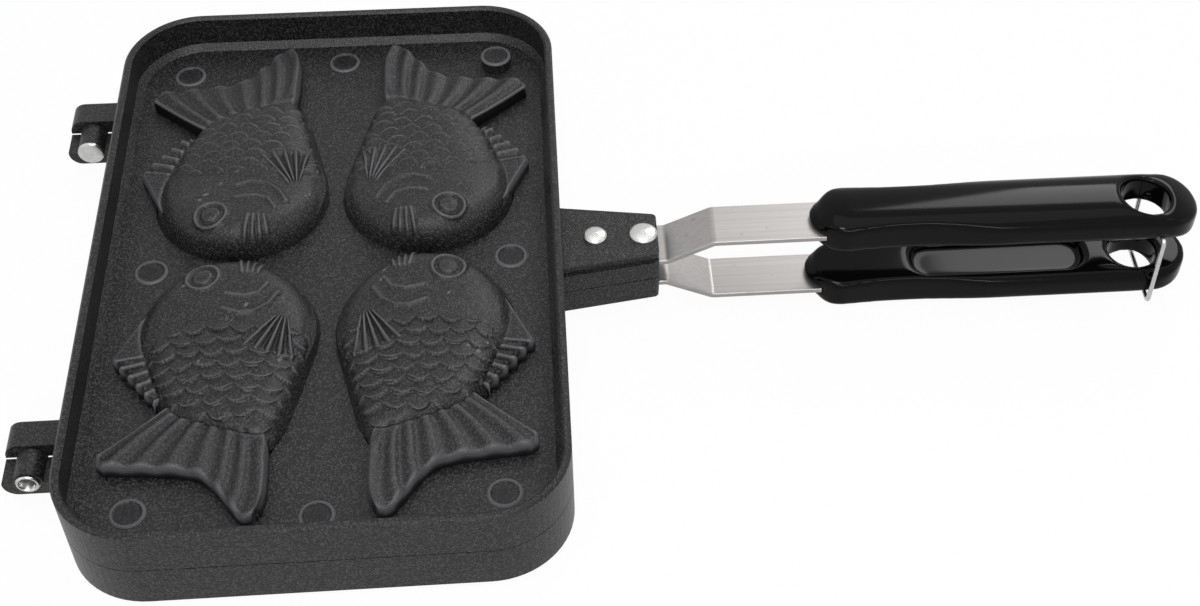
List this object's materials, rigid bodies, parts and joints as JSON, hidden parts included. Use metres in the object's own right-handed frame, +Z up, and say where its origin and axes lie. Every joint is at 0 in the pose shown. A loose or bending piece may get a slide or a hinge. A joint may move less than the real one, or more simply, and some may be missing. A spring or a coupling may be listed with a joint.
{
  "type": "fish-shaped cake pan",
  "caption": "Double-sided stovetop pan with fish-shaped moulds: two hinged cast halves, long handles and a wire latch.",
  "frame": {"origin": "middle of the closed object's box in plan, at the level of its lowest point, the outer face of the lower handle", "axes": "+X runs from the hinges along the handles, +Y across the pan towards its far end, +Z up through the closed halves"},
  "size_m": [0.4314, 0.262, 0.0452],
  "materials": {
    "nonstick_casting": "cast aluminium under a dark speckled non-stick coat",
    "handle_plastic": "glossy black heat-proof moulding",
    "strap_steel": "satin pressed steel strip",
    "rivet_aluminium": "bright aluminium",
    "bail_chrome": "bright plated wire"
  },
  "bodies": {
    "lower_half": {"lower_pan": "nonstick_casting", "lower_strap": "strap_steel", "lower_front_rivet": "rivet_aluminium", "lower_rear_rivet": "rivet_aluminium", "lower_handle": "handle_plastic", "near_hinge_pin": "rivet_aluminium", "far_hinge_pin": "rivet_aluminium"},
    "upper_half": {"upper_pan": "nonstick_casting", "upper_strap": "strap_steel", "upper_front_rivet": "rivet_aluminium", "upper_rear_rivet": "rivet_aluminium", "upper_handle": "handle_plastic"},
    "bail": {"wire_bail": "bail_chrome"}
  },
  "joints": [
    {"name": "lid_hinge", "type": "hinge", "parent": "lower_half", "child": "upper_half", "pos_m": [-0.20685, 0, 0.0226], "axis": [0, -1, 0], "range_deg": [0, 180]},
    {"name": "bail_swing", "type": "hinge", "parent": "upper_half", "child": "bail", "pos_m": [0.20005, 0, 0.0333], "axis": [0, -1, 0], "range_deg": [0, 235]}
  ]
}
